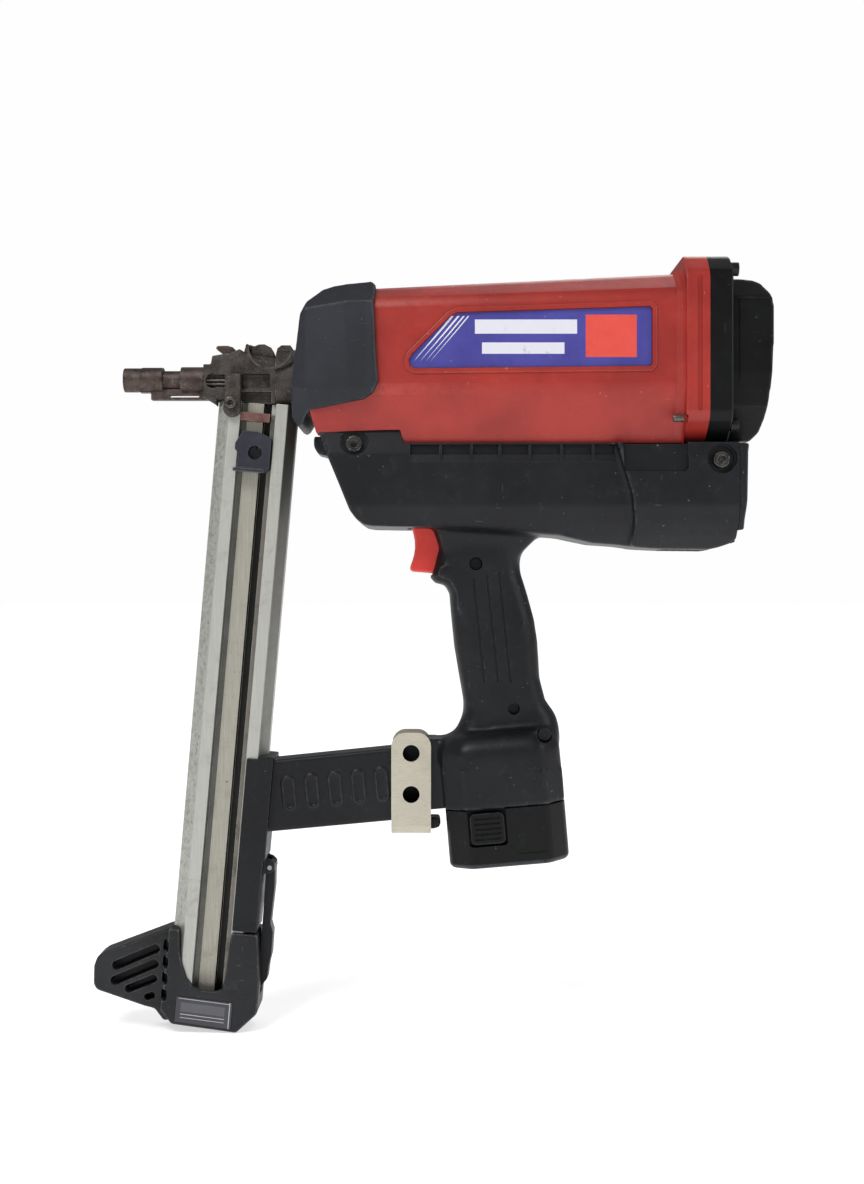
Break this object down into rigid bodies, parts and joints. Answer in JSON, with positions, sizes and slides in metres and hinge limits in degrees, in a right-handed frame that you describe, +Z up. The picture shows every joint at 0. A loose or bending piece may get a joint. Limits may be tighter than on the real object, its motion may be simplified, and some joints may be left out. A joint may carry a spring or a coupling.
{
  "type": "gas-actuated nail gun",
  "caption": "Battery-gripped gas nail gun: boxy red engine housing, black handle and slim side-fed nail magazine with a slatted foot, held by a cross arm.",
  "frame": {"origin": "centre of the muzzle face, on the drive axis", "axes": "+X back along the drive axis from the muzzle to the rear cap, +Z up with the barrel level and the grip below it, +Y to the side away from the nail pusher"},
  "size_m": [0.4425, 0.1, 0.5057],
  "materials": {
    "red_shell": "moulded, lightly worn",
    "black_shell": "moulded, scuffed",
    "bumper_rubber": "matt, scuffed",
    "plate_black": "matt",
    "cap_black": "satin",
    "filter_foam": "open foam",
    "screw_steel": "zinc plated, darkened",
    "cylinder_aluminium": "machined",
    "stop_rubber": "matt",
    "motor_grey": "plain",
    "plug_ceramic": "glazed",
    "nose_steel": "cast, rusted brown",
    "contact_steel": "forged, rusted brown",
    "wire_steel": "drawn wire",
    "blade_steel": "ground",
    "cartridge_aluminium": "drawn can",
    "valve_white": "moulded",
    "contact_black": "moulded",
    "board_green": "lacquered",
    "rail_aluminium": "extruded, anodised, dirty",
    "strip_steel": "rolled",
    "stop_brown": "moulded, faded",
    "foot_plastic": "moulded, scuffed",
    "bracket_plastic": "moulded, scuffed",
    "clip_steel": "plated sheet",
    "pad_rubber": "matt",
    "label_blue": "printed film",
    "label_grey": "printed film",
    "fan_brass": "stamped",
    "trigger_red": "moulded",
    "pusher_black": "blackened",
    "battery_plastic": "moulded",
    "cell_wrap": "shrink film",
    "button_plastic": "moulded"
  },
  "bodies": {
    "tool": {"upper_housing": "red_shell", "left_handle_shell": "black_shell", "right_handle_shell": "black_shell", "front_bumper": "bumper_rubber", "rear_plate": "plate_black", "rear_cap": "cap_black", "air_filter": "filter_foam", "plate_screws": "screw_steel", "housing_bolts": "screw_steel", "handle_screws": "screw_steel", "nose_screw": "screw_steel", "cylinder": "cylinder_aluminium", "cylinder_head": "cylinder_aluminium", "piston_stop": "stop_rubber", "fan_motor": "motor_grey", "spark_plug": "plug_ceramic", "nose_mount": "nose_steel", "nose_barrel": "nose_steel", "nose_block": "nose_steel", "nose_clamp": "nose_steel", "nose_catch": "nose_steel", "bail_lugs": "nose_steel", "chamber_spring": "wire_steel", "trigger_spring": "wire_steel", "door_pin": "blade_steel", "latch_pin": "blade_steel", "fuel_cell": "cartridge_aluminium", "metering_valve": "valve_white", "contact_block": "contact_black", "trigger_switch": "contact_black", "control_board": "board_green", "magazine_rail": "rail_aluminium", "guide_strip": "strip_steel", "nail_stop": "stop_brown", "magazine_foot": "foot_plastic", "magazine_bracket": "bracket_plastic", "hanger_clip": "clip_steel", "skid_pad": "pad_rubber", "side_labels": "label_blue", "foot_label": "label_grey"},
    "probe": {"contact_tip": "contact_steel", "contact_arm": "contact_steel", "linkage_yoke": "contact_steel", "combustion_sleeve": "cylinder_aluminium"},
    "piston": {"piston": "cylinder_aluminium", "driver_blade": "blade_steel", "piston_rings": "blade_steel"},
    "fan": {"fan": "fan_brass"},
    "trigger": {"trigger": "trigger_red"},
    "pusher": {"nail_pusher": "pusher_black", "feed_spring": "wire_steel"},
    "battery": {"battery_case": "battery_plastic", "battery_cells": "cell_wrap"},
    "battery_latch_left": {"battery_latch_left": "button_plastic"},
    "battery_latch_right": {"battery_latch_right": "button_plastic"},
    "fuel_door": {"fuel_door": "black_shell"},
    "foot_latch": {"foot_latch": "bracket_plastic"},
    "wire_bail": {"wire_bail": "wire_steel"}
  },
  "joints": [
    {"name": "contact_slide", "type": "slide", "parent": "tool", "child": "probe", "axis": [1, 0, 0], "range_m": [0, 0.011], "stiffness_N_per_m": 400, "springref_m": -0.02, "deforming": ["chamber_spring"]},
    {"name": "piston_slide", "type": "slide", "parent": "tool", "child": "piston", "axis": [1, 0, 0], "range_m": [-0.102, 0]},
    {"name": "fan_spin", "type": "hinge", "parent": "tool", "child": "fan", "pos_m": [0.332, 0, 0], "axis": [1, 0, 0], "continuous": true},
    {"name": "trigger_pull", "type": "slide", "parent": "tool", "child": "trigger", "axis": [1, 0, 0], "range_m": [0, 0.006], "stiffness_N_per_m": 1000, "springref_m": -0.005, "deforming": ["trigger_spring"]},
    {"name": "pusher_slide", "type": "slide", "parent": "tool", "child": "pusher", "axis": [-0.0854, 0, -0.9963], "range_m": [0, 0.29], "stiffness_N_per_m": 8, "springref_m": -0.4},
    {"name": "battery_slide", "type": "slide", "parent": "tool", "child": "battery", "axis": [0.0837, 0, -0.9965], "range_m": [0, 0.075]},
    {"name": "battery_latch_left_press", "type": "slide", "parent": "battery", "child": "battery_latch_left", "axis": [0, 1, 0], "range_m": [0, 0.0025], "stiffness_N_per_m": 800, "springref_m": -0.004},
    {"name": "battery_latch_right_press", "type": "slide", "parent": "battery", "child": "battery_latch_right", "axis": [0, -1, 0], "range_m": [0, 0.0025], "stiffness_N_per_m": 800, "springref_m": -0.004},
    {"name": "fuel_door_hinge", "type": "hinge", "parent": "tool", "child": "fuel_door", "pos_m": [0.4026, 0, -0.1055], "axis": [0, 1, 0], "range_deg": [0, 95]},
    {"name": "foot_latch_hinge", "type": "hinge", "parent": "tool", "child": "foot_latch", "pos_m": [0.09765, 0, -0.3231], "axis": [0, -1, 0], "range_deg": [0, 25], "stiffness_Nm_per_rad": 0.5, "springref_deg": -17.19},
    {"name": "bail_hinge", "type": "hinge", "parent": "tool", "child": "wire_bail", "pos_m": [0.0843, 0, 0.0195], "axis": [0, -1, 0], "range_deg": [0, 70]}
  ]
}
